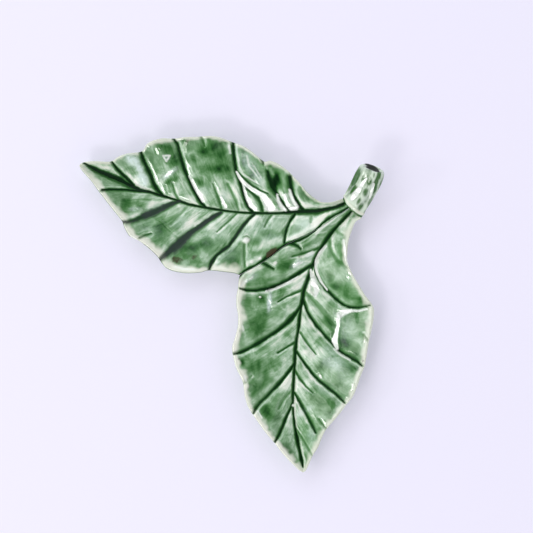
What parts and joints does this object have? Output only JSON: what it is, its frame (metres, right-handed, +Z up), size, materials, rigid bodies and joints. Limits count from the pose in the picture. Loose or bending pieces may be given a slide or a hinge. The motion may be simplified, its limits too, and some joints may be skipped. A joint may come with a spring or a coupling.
{
  "type": "leaf shaped plate",
  "caption": "Shallow glazed dish shaped as leaves on a curved twig handle, for serving snacks or holding small things.",
  "frame": {"origin": "middle of the dish's outline, on the surface that it stands on", "axes": "+Z up, -X towards the left leaf's tip, -Y towards the lower leaf's tip, +Y towards the twig's cut end"},
  "size_m": [0.1952, 0.2156, 0.0316],
  "materials": {
    "leaf_glaze": "gloss",
    "twig_glaze": "gloss",
    "foot_clay": "matt"
  },
  "bodies": {
    "root": {"left_leaf": "leaf_glaze", "lower_leaf": "leaf_glaze", "stem_handle": "twig_glaze", "left_foot": "foot_clay", "lower_foot": "foot_clay"}
  },
  "joints": []
}
